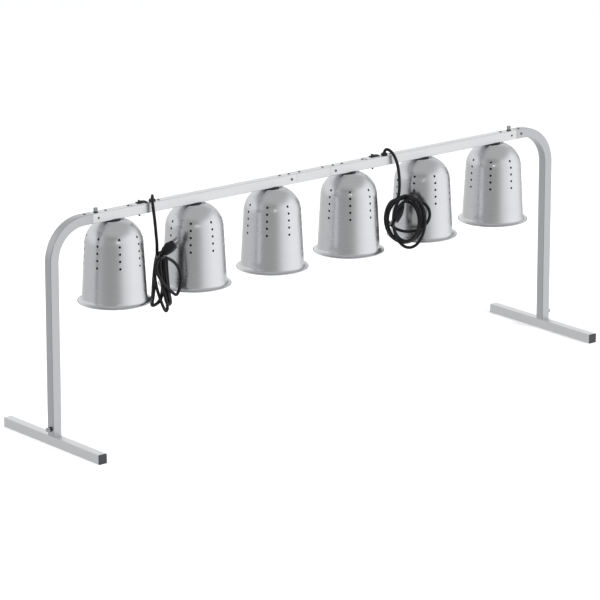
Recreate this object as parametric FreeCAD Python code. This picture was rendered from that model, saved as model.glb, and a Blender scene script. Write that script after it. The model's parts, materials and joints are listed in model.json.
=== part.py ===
"""Free-standing heat lamp warmer: a square-tube frame that carries two strips of three spun-shade lamps.

Millimetres, +Z up. The origin is on the floor, midway between the two feet.
The lamp bar runs along X and the feet run along Y.
"""

import FreeCAD
import Part
import math
import os

from FreeCAD import Vector

# ---- frame -------------------------------------------------------------------------------
TUBE = 25.4                 # outside of every square tube (1 in)
TUBE_WALL = 1.6
TUBE_EDGE = 1.6             # rounding along a tube's outer edges
FOOT_LENGTH = 406.4
LEG_SPACING = 1676.4        # between the centre lines of the two legs
BAR_TOP = 584.2
LEG_BEND = 95.0             # centre-line radius of the leg's bend
STRIP_LENGTH = 660.4
CONNECTOR_LENGTH = 114.3
SEAM_GROOVE = (0.35, 0.5)   # reach to each side of a seam, and depth
CAP_FLANGE = 2.0
CAP_PLUG = 12.0
INSERT = 22.0               # square bars that slide in the tubes
SPIGOT_HEIGHT = 52.0
INSERT_IN_LEG = 24.0
INSERT_IN_STRIP = 56.0

# ---- joint hardware ----------------------------------------------------------------------
HOLE_NEAR = 17.5            # first hole from a seam
HOLE_FAR = 48.3             # second hole from a seam
SCREW_HEAD_R = 3.5
SCREW_HEAD_H = 1.3
SCREW_SHANK_R = 2.0
SCREW_LENGTH = 8.0
SCREW_SOCKET_R = 1.5
SCREW_SOCKET_DEPTH = 0.9
SCREW_HOLE_R = 2.05
THUMB_SHANK_R = 3.1
THUMB_HOLE_R = 3.175        # quarter-inch thread
THUMB_SHANK = 14.0          # from under the collar to the tip
THUMB_HEAD_R = 5.5
THUMB_HEAD_H = 9.2
THUMB_COLLAR_R = 3.9
THUMB_COLLAR_H = 1.9
THUMB_TEETH = 24
WASHER_R = 6.6
WASHER_H = 1.2
FOOT_THUMB_Z = 44.0
BOLT_HEAD_R = 5.2
BOLT_HEAD_H = 4.0
BOLT_LENGTH = 14.0
BOLT_ACCESS_R = 7.0

# ---- lamps -------------------------------------------------------------------------------
LAMP_PITCH = 257.2
SHADE_DROP = 227.2          # from the bar's centre line down to the rim
SHADE_HEIGHT = 212.0
SHADE_SHEET = 1.2
SHADE_RADIUS = 83.7         # of the straight wall, carried down to the rim's level
SHADE_TAPER = 0.0563        # radius lost per unit of height
SHADE_SHOULDER = 153.0      # height at which the dome starts
SHADE_DOME = 66.0
RIM_RADIUS = 95.0
RIM_BEAD = 1.5
FLARE_START = 13.0
VENT_R = 3.1
VENT_ROWS = (102.0, 121.0, 139.5, 158.0, 175.5)
VENT_COLUMNS = 8
VENT_TURN = (19.75, 0.0, 40.5, 7.75, 32.0, 42.5)    # degrees each shade is turned on its nipple
NIPPLE_R = 4.7
NIPPLE_BORE = 3.4
NIPPLE_HOLE_R = 4.8
NIPPLE_TOP = 6.7            # above the bar's underside
NIPPLE_BOTTOM = 9.5         # below the bar's underside
SPACER_R = 18.0
NUT_FLATS = 14.0
NUT_H = 3.0
SOCKET_CAP_R = 23.0
SOCKET_CAP_H = 9.0
SOCKET_R = 19.5
SOCKET_H = 50.0
SOCKET_BORE_R = 13.6
SOCKET_BORE_H = 25.0
BULB_BASE_R = 13.2
BULB_BASE_H = 24.0
BULB_NECK_R = 11.3
BULB_NECK_H = 12.0
BULB_SHOULDER_R = 13.2
BULB_R = 63.5
BULB_FACE_RISE = 7.0
BULB_GLASS = 1.4
BULB_LENGTH = 166.0

# ---- switch group, measured along a strip from its -X end --------------------------------
FIRST_LAMP = (STRIP_LENGTH - 2.0 * LAMP_PITCH) / 2.0
CLAMP_SCREW = 119.0
PLATE_CENTRE = 152.4
DRAIN_PLUG_AT = 154.8
SWITCH_CENTRE = 161.2
RELIEF_CENTRE = 195.6
EARTH_SCREW = 215.4
PLATE_SIZE = (54.0, 20.0, 1.6)
BEZEL_SIZE = (26.0, 16.5, 2.0)
WELL_SIZE = (21.4, 11.0)
SWITCH_SIZE = (23.8, 13.4)
SWITCH_DEPTH = 15.7         # below the plate's underside
WELL_FLOOR = 6.4            # below the plate's underside
TERMINAL = (0.8, 4.8, 6.0)
ROCKER_WIDTH = 10.4
ROCKER_PIVOT = -0.7         # below the bar's top
ROCKER_PIN_R = 1.2
ROCKER_PIN_HOLE_R = 1.25
ROCKER_PIN_REACH = 6.2
ROCKER_TILT = 12.0          # degrees either side of level
DRAIN_PLUG_R = 2.5
DRAIN_PLUG_H = 7.5
RELIEF_R = 8.8
RELIEF_FLANGE_H = 5.2
RELIEF_SLEEVE_R = (7.2, 5.4)
RELIEF_TOP = 6.5            # above the bar's top
RELIEF_NECK_R = 6.1
RELIEF_NECK_HOLE_R = 6.2
RELIEF_LOCK_R = 7.2
RELIEF_LOCK_H = 4.0
RELIEF_TAIL_R = 5.0
RELIEF_TAIL_H = 7.0

# ---- wiring inside a strip ---------------------------------------------------------------
WIRE_R = 1.9
BRANCH_R = 1.6
WIRE_JOINT_R = 2.2
WIRE_Y = 8.6
WIRE_Z = -5.2               # from the bar's centre line
DROP_Z = 1.0
DROP_TO = -5.5              # from the bar's underside

# ---- cords -------------------------------------------------------------------------------
CORD_R = 4.1
ROUTE_SHARE = 0.45          # share of the shorter run that each arc may use
PLUG_R = 13.5
PLUG_GRIP_R = 5.6
PLUG_LENGTH = 44.0
PLUG_NOSE = 16.0
PLUG_FLAT = 10.5
BLADE = (1.5, 6.3, 16.0)
BLADE_SPACING = 12.7
EARTH_PIN_R = 2.4
EARTH_PIN_LENGTH = 18.5
EARTH_PIN_OFFSET = 8.0

# Route of each cord's free stretch, from the strain relief over the bar's front edge to its hank.
LEFT_ROUTE = [
    (-521.95, 0.0, 590.7),
    (-523.0, -1.6, 599.0),
    (-527.2, -7.5, 605.6),
    (-533.0, -14.6, 604.0),
    (-537.6, -20.5, 594.0),
    (-538.6, -23.0, 579.0),
    (-536.4, -24.0, 557.0),
    (-531.8, -24.5, 530.0),
    (-528.2, -24.0, 503.0),
    (-525.6, -23.0, 478.0),
    (-524.6, -21.5, 455.0),
]
RIGHT_ROUTE = [
    (252.75, 0.0, 590.7),
    (254.0, -2.0, 597.6),
    (257.2, -8.0, 601.6),
    (264.0, -16.0, 597.0),
    (270.9, -22.0, 583.5),
    (275.6, -26.0, 565.0),
    (280.0, -28.0, 540.9),
    (282.2, -29.0, 513.4),
    (281.0, -30.0, 487.0),
    (274.0, -32.0, 465.0),
]
# The left hank's outline in X and Z at its back and at its front, which steps out to the left.
HANK_BACK = -15.5
HANK_FRONT = -65.0
HANK_BACK_OUTLINE = [
    (-507.0, 455.0),
    (-496.0, 444.0),
    (-494.0, 420.0),
    (-495.0, 395.0),
    (-494.0, 370.0),
    (-491.0, 345.0),
    (-489.0, 320.0),
    (-488.0, 298.0),
    (-495.0, 292.0),
    (-506.0, 301.0),
    (-520.0, 313.0),
    (-536.0, 315.0),
    (-544.0, 332.0),
    (-540.0, 365.0),
    (-536.0, 400.0),
    (-525.0, 440.0),
]
HANK_FRONT_OUTLINE = [
    (-544.0, 452.0),
    (-526.0, 445.0),
    (-506.0, 430.0),
    (-488.0, 408.0),
    (-480.0, 385.0),
    (-481.0, 358.0),
    (-490.0, 336.0),
    (-504.0, 328.0),
    (-517.0, 309.0),
    (-527.0, 308.0),
    (-535.0, 330.0),
    (-540.0, 355.0),
    (-553.0, 379.0),
    (-567.0, 398.0),
    (-570.0, 418.0),
    (-559.0, 444.0),
]
LEFT_PLUG_AT = (-530.0, -46.4, 455.0)
LEFT_PLUG_ALONG = (0.59, -0.49, 0.64)
LEFT_PLUG_ROLL = 20.0
# The right coil is a flat ring that leans on the lamp behind it.
COIL_YAW = 39.45            # degrees that its face is turned from -Y towards -X
COIL_LEAN = 5.7
COIL_CENTRE = (285.8, -58.9, 411.0)
COIL_OUTER = (62.0, 76.0)
COIL_INNER = (29.0, 36.0)
COIL_HOLE_SHIFT = (-4.0, 7.0)
COIL_THICK = 34.0
RIGHT_PLUG_AT = (283.5, -41.0, 444.0)
RIGHT_PLUG_ALONG = (-0.71, -0.12, -0.69)
RIGHT_PLUG_ROLL = 60.0

# ---- worked out from the sizes above -----------------------------------------------------
HALF = TUBE / 2.0
BAR_Z = BAR_TOP - HALF
BAR_UNDER = BAR_TOP - TUBE
LEG_X = LEG_SPACING / 2.0
SEAM_IN = CONNECTOR_LENGTH / 2.0
SEAM_OUT = SEAM_IN + STRIP_LENGTH
RIM_Z = BAR_Z - SHADE_DROP
SHADE_TOP = RIM_Z + SHADE_HEIGHT
SIDES = (("left", -1.0), ("right", 1.0))
X_AXIS = Vector(1, 0, 0)
Y_AXIS = Vector(0, 1, 0)
Z_AXIS = Vector(0, 0, 1)


def strip_start(side):
    """X of a strip's -X end. Both strips face the same way, so one is the other moved along."""
    if side < 0:
        return -SEAM_OUT
    return SEAM_IN


def lamp_places():
    """X of each lamp, from -X to +X."""
    return [strip_start(side) + FIRST_LAMP + LAMP_PITCH * k for _, side in SIDES for k in range(3)]


# ---- small building blocks ---------------------------------------------------------------
def block(low, high):
    """Box from its lowest to its highest corner."""
    size = [b - a for a, b in zip(low, high)]
    return Part.makeBox(size[0], size[1], size[2], Vector(*low))


def centred_block(x, y, z_low, size):
    """Box centred on x, y that stands on z_low."""
    return Part.makeBox(size[0], size[1], size[2], Vector(x - size[0] / 2.0, y - size[1] / 2.0, z_low))


def rod(radius, start, along, length):
    return Part.makeCylinder(radius, length, Vector(*start), Vector(*along))


def square_wire(size, rounding):
    """Square with rounded corners in the XY plane, centred on the origin."""
    plate = Part.makeBox(size, size, 1.0, Vector(-size / 2.0, -size / 2.0, 0.0))
    upright = [e for e in plate.Edges if abs(e.tangentAt(e.FirstParameter).z) > 0.9]
    rounded = plate.makeFillet(rounding, upright)
    floor = [f for f in rounded.Faces if abs(f.CenterOfMass.z) < 1e-6]
    return floor[0].OuterWire


def tube_section():
    """Cross-section of the square tube, in the XY plane."""
    outer = square_wire(TUBE, TUBE_EDGE)
    inner = square_wire(TUBE - 2.0 * TUBE_WALL, TUBE_EDGE / 4.0)
    return Part.Face([outer, inner])


def turned_to(shape, along):
    """Turns a shape made along +Z so that it runs along another direction."""
    turned = shape.copy()
    turned.Placement = FreeCAD.Placement(Vector(0, 0, 0), FreeCAD.Rotation(Z_AXIS, Vector(*along)))
    return turned


def tube_along(along, start, length):
    """Square tube that starts at a point and runs along an axis."""
    section = turned_to(tube_section(), along)
    section.translate(Vector(*start))
    return section.extrude(Vector(*along) * length)


def square_bar(along, start, length):
    """Solid square bar with small chamfers on its ends."""
    bar = Part.Face(square_wire(INSERT, 0.8)).extrude(Z_AXIS * length)
    ends = [e for e in bar.Edges if abs(e.tangentAt(e.FirstParameter).z) < 0.1]
    bar = bar.makeChamfer(0.6, [e for e in ends if e.Length > 5.0])
    bar = turned_to(bar, along)
    bar.translate(Vector(*start))
    return bar


def revolved(points, x):
    """Solid of revolution about the upright line at x, from a closed list of (radius, z)."""
    wire = Part.makePolygon([Vector(r, 0, z) for r, z in points] + [Vector(points[0][0], 0, points[0][1])])
    solid = Part.Face(wire).revolve(Vector(0, 0, 0), Z_AXIS, 360.0)
    solid.translate(Vector(x, 0, 0))
    return solid


def write(name, shapes):
    """Writes one node: a single solid, or a group of separate solids."""
    shape = shapes if isinstance(shapes, Part.Shape) else Part.makeCompound(shapes)
    for solid in shape.Solids:
        if not solid.isValid():
            print("not valid:", name)
    shape.exportStep(os.path.join("parts", name + ".step"))


# ---- frame -------------------------------------------------------------------------------
def foot_tube(side):
    x = side * LEG_X
    y_end = FOOT_LENGTH / 2.0 - CAP_FLANGE
    tube = tube_along(Y_AXIS, (x, -y_end, HALF), 2.0 * y_end)
    bolt_hole = rod(SCREW_HEAD_R, (x, 0, TUBE - 2.0 * TUBE_WALL), Z_AXIS, 4.0 * TUBE_WALL)
    access = rod(BOLT_ACCESS_R, (x, 0, -TUBE_WALL), Z_AXIS, 4.0 * TUBE_WALL)
    return tube.cut([bolt_hole, access])


def foot_cap(side, end):
    """Plastic cap: a flange flush with the tube and a plug inside it."""
    x = side * LEG_X
    flange = Part.Face(square_wire(TUBE, TUBE_EDGE)).extrude(Z_AXIS * CAP_FLANGE)
    outer_edges = [e for e in flange.Edges if min(v.Z for v in e.Vertexes) > CAP_FLANGE - 0.01]
    flange = flange.makeChamfer(0.7, outer_edges)
    plug = Part.Face(square_wire(INSERT, 0.8)).extrude(Z_AXIS * -CAP_PLUG)
    cap = turned_to(flange.fuse(plug), Y_AXIS * end)
    cap.translate(Vector(x, end * (FOOT_LENGTH / 2.0 - CAP_FLANGE), HALF))
    return cap


def foot_spigot(side):
    """Square bar that stands on the foot and locates the leg."""
    x = side * LEG_X
    bar = square_bar(Z_AXIS, (x, 0, TUBE), SPIGOT_HEIGHT)
    bolt_hole = rod(THUMB_HOLE_R, (x, 0, TUBE - 1.0), Z_AXIS, BOLT_LENGTH)
    thumb_hole = rod(THUMB_HOLE_R, (side * (LEG_X + HALF), 0, FOOT_THUMB_Z), X_AXIS * -side, THUMB_SHANK + 3.0)
    return bar.cut([bolt_hole, thumb_hole])


def spigot_bolt(side):
    """Bolt that holds the spigot down from inside the foot."""
    x = side * LEG_X
    under = TUBE - TUBE_WALL
    head = rod(BOLT_HEAD_R, (x, 0, under - BOLT_HEAD_H), Z_AXIS, BOLT_HEAD_H)
    socket = rod(2.6, (x, 0, under - BOLT_HEAD_H), Z_AXIS, 2.4)
    shank = rod(THUMB_SHANK_R, (x, 0, under), Z_AXIS, BOLT_LENGTH)
    return head.cut(socket).fuse(shank)


def seam_groove(x):
    """Fine groove round the bar, where the ends of two tubes meet."""
    reach, depth = SEAM_GROOVE
    band = block((x - reach, -HALF - 1.0, BAR_UNDER - 1.0), (x + reach, HALF + 1.0, BAR_TOP + 1.0))
    core = block((x - TUBE, -HALF + depth, BAR_UNDER + depth), (x + TUBE, HALF - depth, BAR_TOP - depth))
    return band.cut(core)


def leg_tube(side):
    """Leg: an upright, a quarter bend and a short stretch along the bar."""
    x = side * LEG_X
    bend_z = BAR_Z - LEG_BEND
    centre_x = x - side * LEG_BEND
    upright = tube_along(Z_AXIS, (x, 0, TUBE), bend_z - TUBE)
    section = tube_section()
    section.translate(Vector(x, 0, bend_z))
    bend = section.revolve(Vector(centre_x, 0, bend_z), Y_AXIS * -side, 90.0)
    reach = abs(centre_x) - SEAM_OUT
    arm = tube_along(X_AXIS * -side, (centre_x, 0, BAR_Z), reach)
    leg = upright.fuse([bend, arm])
    hole_x = side * (SEAM_OUT + HOLE_NEAR)
    holes = [
        rod(THUMB_HOLE_R, (side * (LEG_X + HALF + 1.0), 0, FOOT_THUMB_Z), X_AXIS * -side, 2.0 * TUBE_WALL),
        screw_hole((hole_x, 0, BAR_TOP), Z_AXIS),
        screw_hole((hole_x, -side * HALF, BAR_Z), Y_AXIS * -side),
    ]
    return leg.cut(holes + [seam_groove(side * SEAM_OUT)])


def leg_insert(side):
    """Square bar that is fixed in the leg and slides into the lamp strip."""
    start = SEAM_OUT + INSERT_IN_LEG
    bar = square_bar(X_AXIS * -side, (side * start, 0, BAR_Z), INSERT_IN_LEG + INSERT_IN_STRIP)
    fixed_x = side * (SEAM_OUT + HOLE_NEAR)
    thumb_x = side * (SEAM_OUT - HOLE_NEAR)
    far_x = side * (SEAM_OUT - HOLE_FAR)
    holes = [
        screw_hole((fixed_x, 0, BAR_TOP), Z_AXIS),
        screw_hole((fixed_x, -side * HALF, BAR_Z), Y_AXIS * -side),
        screw_hole((far_x, 0, BAR_TOP), Z_AXIS),
        rod(THUMB_HOLE_R, (thumb_x, 0, BAR_TOP), Z_AXIS * -1.0, THUMB_SHANK + 1.0),
        rod(THUMB_HOLE_R, (thumb_x, -HALF, BAR_Z), Y_AXIS, HALF - THUMB_HOLE_R - 1.5),
    ]
    return bar.cut(holes)


def strip_housing(side):
    """Square tube that carries three lamps, a switch and a cord."""
    start = strip_start(side)
    tube = tube_along(X_AXIS, (start, 0, BAR_Z), STRIP_LENGTH)
    cuts = [seam_groove(start), seam_groove(start + STRIP_LENGTH)]
    for lamp in range(3):
        x = start + FIRST_LAMP + lamp * LAMP_PITCH
        cuts.append(rod(NIPPLE_HOLE_R, (x, 0, BAR_UNDER - 1.0), Z_AXIS, 2.0 * TUBE_WALL))
    for inward, seam in ((1.0, start), (-1.0, start + STRIP_LENGTH)):
        near_x = seam + inward * HOLE_NEAR
        outer = abs(seam) > SEAM_IN + 1.0
        near_r = THUMB_HOLE_R if outer else SCREW_HOLE_R
        cuts.append(rod(near_r, (near_x, 0, BAR_TOP + 1.0), Z_AXIS * -1.0, 2.0 * TUBE_WALL))
        cuts.append(rod(near_r, (near_x, -HALF - 1.0, BAR_Z), Y_AXIS, 2.0 * TUBE_WALL))
        cuts.append(screw_hole((seam + inward * HOLE_FAR, 0, BAR_TOP), Z_AXIS))
    cuts.append(screw_hole((start + CLAMP_SCREW, 0, BAR_TOP), Z_AXIS))
    cuts.append(screw_hole((start + EARTH_SCREW, 0, BAR_TOP), Z_AXIS))
    cuts.append(screw_hole((start + DRAIN_PLUG_AT, 0, BAR_UNDER), Z_AXIS * -1.0))
    opening = (SWITCH_SIZE[0] + 0.4, SWITCH_SIZE[1] + 0.4, 3.0 * TUBE_WALL)
    cuts.append(centred_block(start + SWITCH_CENTRE, 0, BAR_TOP - 2.0 * TUBE_WALL, opening))
    relief_low = (start + RELIEF_CENTRE, 0, BAR_TOP - 2.0 * TUBE_WALL)
    cuts.append(rod(RELIEF_NECK_HOLE_R, relief_low, Z_AXIS, 4.0 * TUBE_WALL))
    return tube.cut(cuts)


def centre_connector():
    """Short tube between the two strips."""
    tube = tube_along(X_AXIS, (-SEAM_IN, 0, BAR_Z), CONNECTOR_LENGTH)
    cuts = [screw_hole((side * (SEAM_IN - HOLE_NEAR), 0, BAR_TOP), Z_AXIS) for _, side in SIDES]
    cuts += [seam_groove(side * SEAM_IN) for _, side in SIDES]
    return tube.cut(cuts)


def centre_joiner():
    """Square bar through the connector that reaches into both strips."""
    reach = SEAM_IN + INSERT_IN_STRIP
    bar = square_bar(X_AXIS, (-reach, 0, BAR_Z), 2.0 * reach)
    holes = []
    for _, side in SIDES:
        for x in (SEAM_IN - HOLE_NEAR, SEAM_IN + HOLE_NEAR, SEAM_IN + HOLE_FAR):
            holes.append(screw_hole((side * x, 0, BAR_TOP), Z_AXIS))
        holes.append(screw_hole((side * (SEAM_IN + HOLE_NEAR), -HALF, BAR_Z), Y_AXIS * -1.0))
    return bar.cut(holes)


# ---- screws ------------------------------------------------------------------------------
def screw_hole(head_at, outward):
    """Hole for a small screw whose head lies on a face at head_at."""
    start = Vector(*head_at) + outward
    return Part.makeCylinder(SCREW_HOLE_R, SCREW_LENGTH + 1.5, start, outward * -1.0)


def small_screw(head_at, outward):
    """Low round-headed screw with a round socket."""
    at = Vector(*head_at)
    head = Part.makeCylinder(SCREW_HEAD_R, SCREW_HEAD_H, at, outward)
    rim = [e for e in head.Edges if e.Closed and (e.CenterOfMass - at).dot(outward) > SCREW_HEAD_H / 2.0]
    head = head.makeFillet(0.8, rim)
    socket = Part.makeCylinder(SCREW_SOCKET_R, SCREW_SOCKET_DEPTH, at + outward * SCREW_HEAD_H, outward * -1.0)
    shank = Part.makeCylinder(SCREW_SHANK_R, SCREW_LENGTH, at, outward * -1.0)
    return head.cut(socket).fuse(shank)


def joint_screws():
    """Every small screw of the frame: the fixed joints, wire clamps and earth points."""
    screws = []
    for _, side in SIDES:
        for x in (SEAM_IN - HOLE_NEAR, SEAM_IN + HOLE_NEAR, SEAM_IN + HOLE_FAR):
            screws.append(small_screw((side * x, 0, BAR_TOP), Z_AXIS))
        for x in (SEAM_OUT - HOLE_FAR, SEAM_OUT + HOLE_NEAR):
            screws.append(small_screw((side * x, 0, BAR_TOP), Z_AXIS))
        screws.append(small_screw((side * (SEAM_IN + HOLE_NEAR), -HALF, BAR_Z), Y_AXIS * -1.0))
        screws.append(small_screw((side * (SEAM_OUT + HOLE_NEAR), -side * HALF, BAR_Z), Y_AXIS * -side))
        for along in (CLAMP_SCREW, EARTH_SCREW):
            screws.append(small_screw((strip_start(side) + along, 0, BAR_TOP), Z_AXIS))
    return screws


def drain_plugs():
    """Round-nosed plastic plug under each switch."""
    plugs = []
    for _, side in SIDES:
        at = Vector(strip_start(side) + DRAIN_PLUG_AT, 0, BAR_UNDER)
        head = Part.makeCylinder(DRAIN_PLUG_R, DRAIN_PLUG_H, at, Z_AXIS * -1.0)
        rim = [e for e in head.Edges if e.Closed and e.CenterOfMass.z < BAR_UNDER - DRAIN_PLUG_H / 2.0]
        head = head.makeFillet(1.6, rim)
        stem = Part.makeCylinder(SCREW_SHANK_R, 2.0 * TUBE_WALL, at, Z_AXIS)
        plugs.append(head.fuse(stem))
    return plugs


def thumbscrew_places():
    """Name, side, head position on the tube's face and outward direction of each thumbscrew."""
    places = []
    for name, side in SIDES:
        foot_at = Vector(side * (LEG_X + HALF), 0, FOOT_THUMB_Z)
        bar_at = Vector(side * (SEAM_OUT - HOLE_NEAR), 0, BAR_TOP)
        places.append((name + "_foot", foot_at, X_AXIS * side))
        places.append((name + "_bar", bar_at, Z_AXIS))
    return places


def thumbscrew(at, outward):
    """Knurled head, collar and shank."""
    knurl = []
    for tooth in range(2 * THUMB_TEETH):
        angle = math.pi * tooth / THUMB_TEETH
        radius = THUMB_HEAD_R - 0.45 * (tooth % 2)
        knurl.append(Vector(radius * math.cos(angle), radius * math.sin(angle), 0))
    head_low = WASHER_H + THUMB_COLLAR_H
    head = Part.Face(Part.makePolygon(knurl + [knurl[0]])).extrude(Z_AXIS * THUMB_HEAD_H)
    crown = Part.makeCone(THUMB_HEAD_R - 1.2, THUMB_HEAD_R + 0.1, 1.3)
    crown_top = Part.makeCone(THUMB_HEAD_R + 0.1, THUMB_HEAD_R - 0.8, 0.9)
    crown_top.translate(Z_AXIS * (THUMB_HEAD_H - 0.9))
    middle = Part.makeCylinder(THUMB_HEAD_R + 0.1, THUMB_HEAD_H - 2.2, Z_AXIS * 1.3)
    head = head.common(crown.fuse([middle, crown_top]))
    head.translate(Z_AXIS * head_low)
    collar = Part.makeCylinder(THUMB_COLLAR_R, THUMB_COLLAR_H, Z_AXIS * WASHER_H)
    shank = Part.makeCylinder(THUMB_SHANK_R, THUMB_SHANK, Z_AXIS * (WASHER_H - THUMB_SHANK))
    screw = turned_to(head.fuse([collar, shank]), outward)
    screw.translate(at)
    return screw


def thumb_washer(at, outward):
    ring = Part.makeCylinder(WASHER_R, WASHER_H)
    hole = Part.makeCylinder(THUMB_HOLE_R, WASHER_H)
    washer = turned_to(ring.cut(hole), outward)
    washer.translate(at)
    return washer


# ---- lamps -------------------------------------------------------------------------------
def wall_radius(height):
    """Outer radius of the shade's straight wall at a height above the rim."""
    return SHADE_RADIUS - SHADE_TAPER * height


def shade_curve(inset):
    """The shade's outline, moved inwards by inset: flare, straight wall, dome and top."""
    lean = math.atan(SHADE_TAPER)
    top = SHADE_HEIGHT - inset
    flare_r = wall_radius(FLARE_START) - inset
    flare_radius = RIM_RADIUS - RIM_BEAD - 0.3 - wall_radius(FLARE_START) + inset
    flare_centre = Vector(flare_r + flare_radius, 0, FLARE_START)
    tip = flare_centre - Z_AXIS * flare_radius
    mid = flare_centre + Vector(-math.sqrt(0.5), 0, -math.sqrt(0.5)) * flare_radius
    wall_low = Vector(flare_r, 0, FLARE_START)
    wall_high = Vector(wall_radius(SHADE_SHOULDER) - inset, 0, SHADE_SHOULDER)
    inward = Vector(math.cos(lean), 0, math.sin(lean)) * -(SHADE_DOME - inset)
    dome_centre = wall_high + inward
    dome_r = SHADE_DOME - inset
    end_angle = math.asin((top - dome_centre.z) / dome_r)
    half_angle = (end_angle + lean) / 2.0
    dome_mid = dome_centre + Vector(math.cos(half_angle), 0, math.sin(half_angle)) * dome_r
    dome_end = dome_centre + Vector(math.cos(end_angle), 0, math.sin(end_angle)) * dome_r
    return [
        Part.Arc(tip, mid, wall_low).toShape(),
        Part.makeLine(wall_low, wall_high),
        Part.Arc(wall_high, dome_mid, dome_end).toShape(),
        Part.makeLine(dome_end, Vector(0, 0, top)),
    ]


def shade_shell():
    """Spun shade with its rolled rim, standing on z = 0 and centred on the Z axis."""
    outer = shade_curve(0.0)
    inner = shade_curve(SHADE_SHEET)
    axis = Part.makeLine(Vector(0, 0, SHADE_HEIGHT), Vector(0, 0, SHADE_HEIGHT - SHADE_SHEET))
    lip = Part.makeLine(outer[0].Vertexes[0].Point, inner[0].Vertexes[0].Point)
    wire = Part.Wire(Part.__sortEdges__(outer + [axis] + inner + [lip]))
    shell = Part.Face(wire).revolve(Vector(0, 0, 0), Z_AXIS, 360.0)
    bead = Part.makeTorus(RIM_RADIUS - RIM_BEAD, RIM_BEAD, Vector(0, 0, RIM_BEAD))
    hole = Part.makeCylinder(NIPPLE_HOLE_R, 3.0 * SHADE_SHEET, Z_AXIS * (SHADE_HEIGHT - 2.0 * SHADE_SHEET))
    return shell.fuse(bead).cut(hole)


def vent_holes():
    """Columns of round holes through the wall and the start of the dome."""
    drills = []
    for column in range(VENT_COLUMNS):
        angle = 2.0 * math.pi * column / VENT_COLUMNS
        outward = Vector(math.cos(angle), math.sin(angle), 0)
        for height in VENT_ROWS:
            start = outward * (SHADE_RADIUS / 2.0) + Z_AXIS * height
            drills.append(Part.makeCylinder(VENT_R, SHADE_RADIUS, start, outward))
    return drills


def lamp_shades():
    pattern = shade_shell().cut(vent_holes())
    shades = []
    for x, turn in zip(lamp_places(), VENT_TURN):
        shade = pattern.copy()
        shade.rotate(Vector(0, 0, 0), Z_AXIS, turn)
        shade.translate(Vector(x, 0, RIM_Z))
        shades.append(shade)
    return shades


def lamp_nipple(x):
    """Threaded tube that hangs the lamp from the bar and carries its wires."""
    start = (x, 0, BAR_UNDER - NIPPLE_BOTTOM)
    length = NIPPLE_BOTTOM + NIPPLE_TOP
    return rod(NIPPLE_R, start, Z_AXIS, length).cut(rod(NIPPLE_BORE, start, Z_AXIS, length))


def lamp_spacer(x):
    """Washer between the bar and the shade."""
    start = (x, 0, SHADE_TOP)
    height = BAR_UNDER - SHADE_TOP
    return rod(SPACER_R, start, Z_AXIS, height).cut(rod(NIPPLE_HOLE_R, start, Z_AXIS, height))


def lamp_nut(x):
    """Hexagon lock nut inside the bar."""
    corner = NUT_FLATS / math.sqrt(3.0)
    floor = BAR_UNDER + TUBE_WALL
    points = [Vector(x + corner * math.cos(math.pi * k / 3.0), corner * math.sin(math.pi * k / 3.0), floor)
              for k in range(7)]
    nut = Part.Face(Part.makePolygon(points)).extrude(Z_AXIS * NUT_H)
    return nut.cut(rod(NIPPLE_HOLE_R, (x, 0, floor), Z_AXIS, NUT_H))


def lamp_socket(x):
    """Porcelain lamp holder under the shade's top."""
    top = SHADE_TOP - SHADE_SHEET
    low = top - SOCKET_H
    outline = [
        (0.0, top),
        (SOCKET_CAP_R, top),
        (SOCKET_CAP_R, top - SOCKET_CAP_H + 2.0),
        (SOCKET_CAP_R - 2.0, top - SOCKET_CAP_H),
        (SOCKET_R, top - SOCKET_CAP_H),
        (SOCKET_R, low + 6.0),
        (SOCKET_R + 1.5, low + 4.0),
        (SOCKET_R + 1.5, low),
        (SOCKET_BORE_R, low),
        (SOCKET_BORE_R, low + SOCKET_BORE_H),
        (0.0, low + SOCKET_BORE_H),
    ]
    nipple_low = BAR_UNDER - NIPPLE_BOTTOM - 0.5
    seat = rod(NIPPLE_HOLE_R, (x, 0, nipple_low), Z_AXIS, top - nipple_low)
    return revolved(outline, x).cut(seat)


def bulb_top():
    return SHADE_TOP - SHADE_SHEET - SOCKET_H + SOCKET_BORE_H


def bulb_solid(low, neck, neck_top, inset):
    """Neck, flared reflector and domed face as one solid, moved inwards by inset."""
    shoulder = Vector(BULB_SHOULDER_R - inset, 0, neck - inset)
    edge = Vector(BULB_R - inset, 0, neck - 112.0)
    flare = Part.BSplineCurve()
    flare.interpolate([
        shoulder,
        Vector(18.5 - inset, 0, neck - 21.0),
        Vector(33.5 - inset, 0, neck - 48.0),
        Vector(53.0 - inset, 0, neck - 82.0),
        edge,
    ])
    edge_mid = Vector(BULB_R - 3.6 - inset, 0, low + 14.0 + inset / 2.0)
    face_r = BULB_R - 13.0 - inset / 2.0
    face_sphere = (face_r ** 2 + BULB_FACE_RISE ** 2) / (2.0 * BULB_FACE_RISE)
    half_angle = math.asin(face_r / face_sphere) / 2.0
    face_edge = Vector(face_r, 0, low + BULB_FACE_RISE + inset)
    face_mid = Vector(face_sphere * math.sin(half_angle), 0,
                      low + inset + face_sphere * (1.0 - math.cos(half_angle)))
    face_centre = Vector(0, 0, low + inset)
    neck_r = BULB_NECK_R - inset
    outline = [
        Part.makeLine(Vector(0, 0, neck_top), Vector(neck_r, 0, neck_top)),
        Part.makeLine(Vector(neck_r, 0, neck_top), Vector(neck_r, 0, shoulder.z)),
        Part.makeLine(Vector(neck_r, 0, shoulder.z), shoulder),
        flare.toShape(),
        Part.Arc(edge, edge_mid, face_edge).toShape(),
        Part.Arc(face_edge, face_mid, face_centre).toShape(),
        Part.makeLine(face_centre, Vector(0, 0, neck_top)),
    ]
    return Part.Face(Part.Wire(outline)).revolve(Vector(0, 0, 0), Z_AXIS, 360.0)


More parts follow.
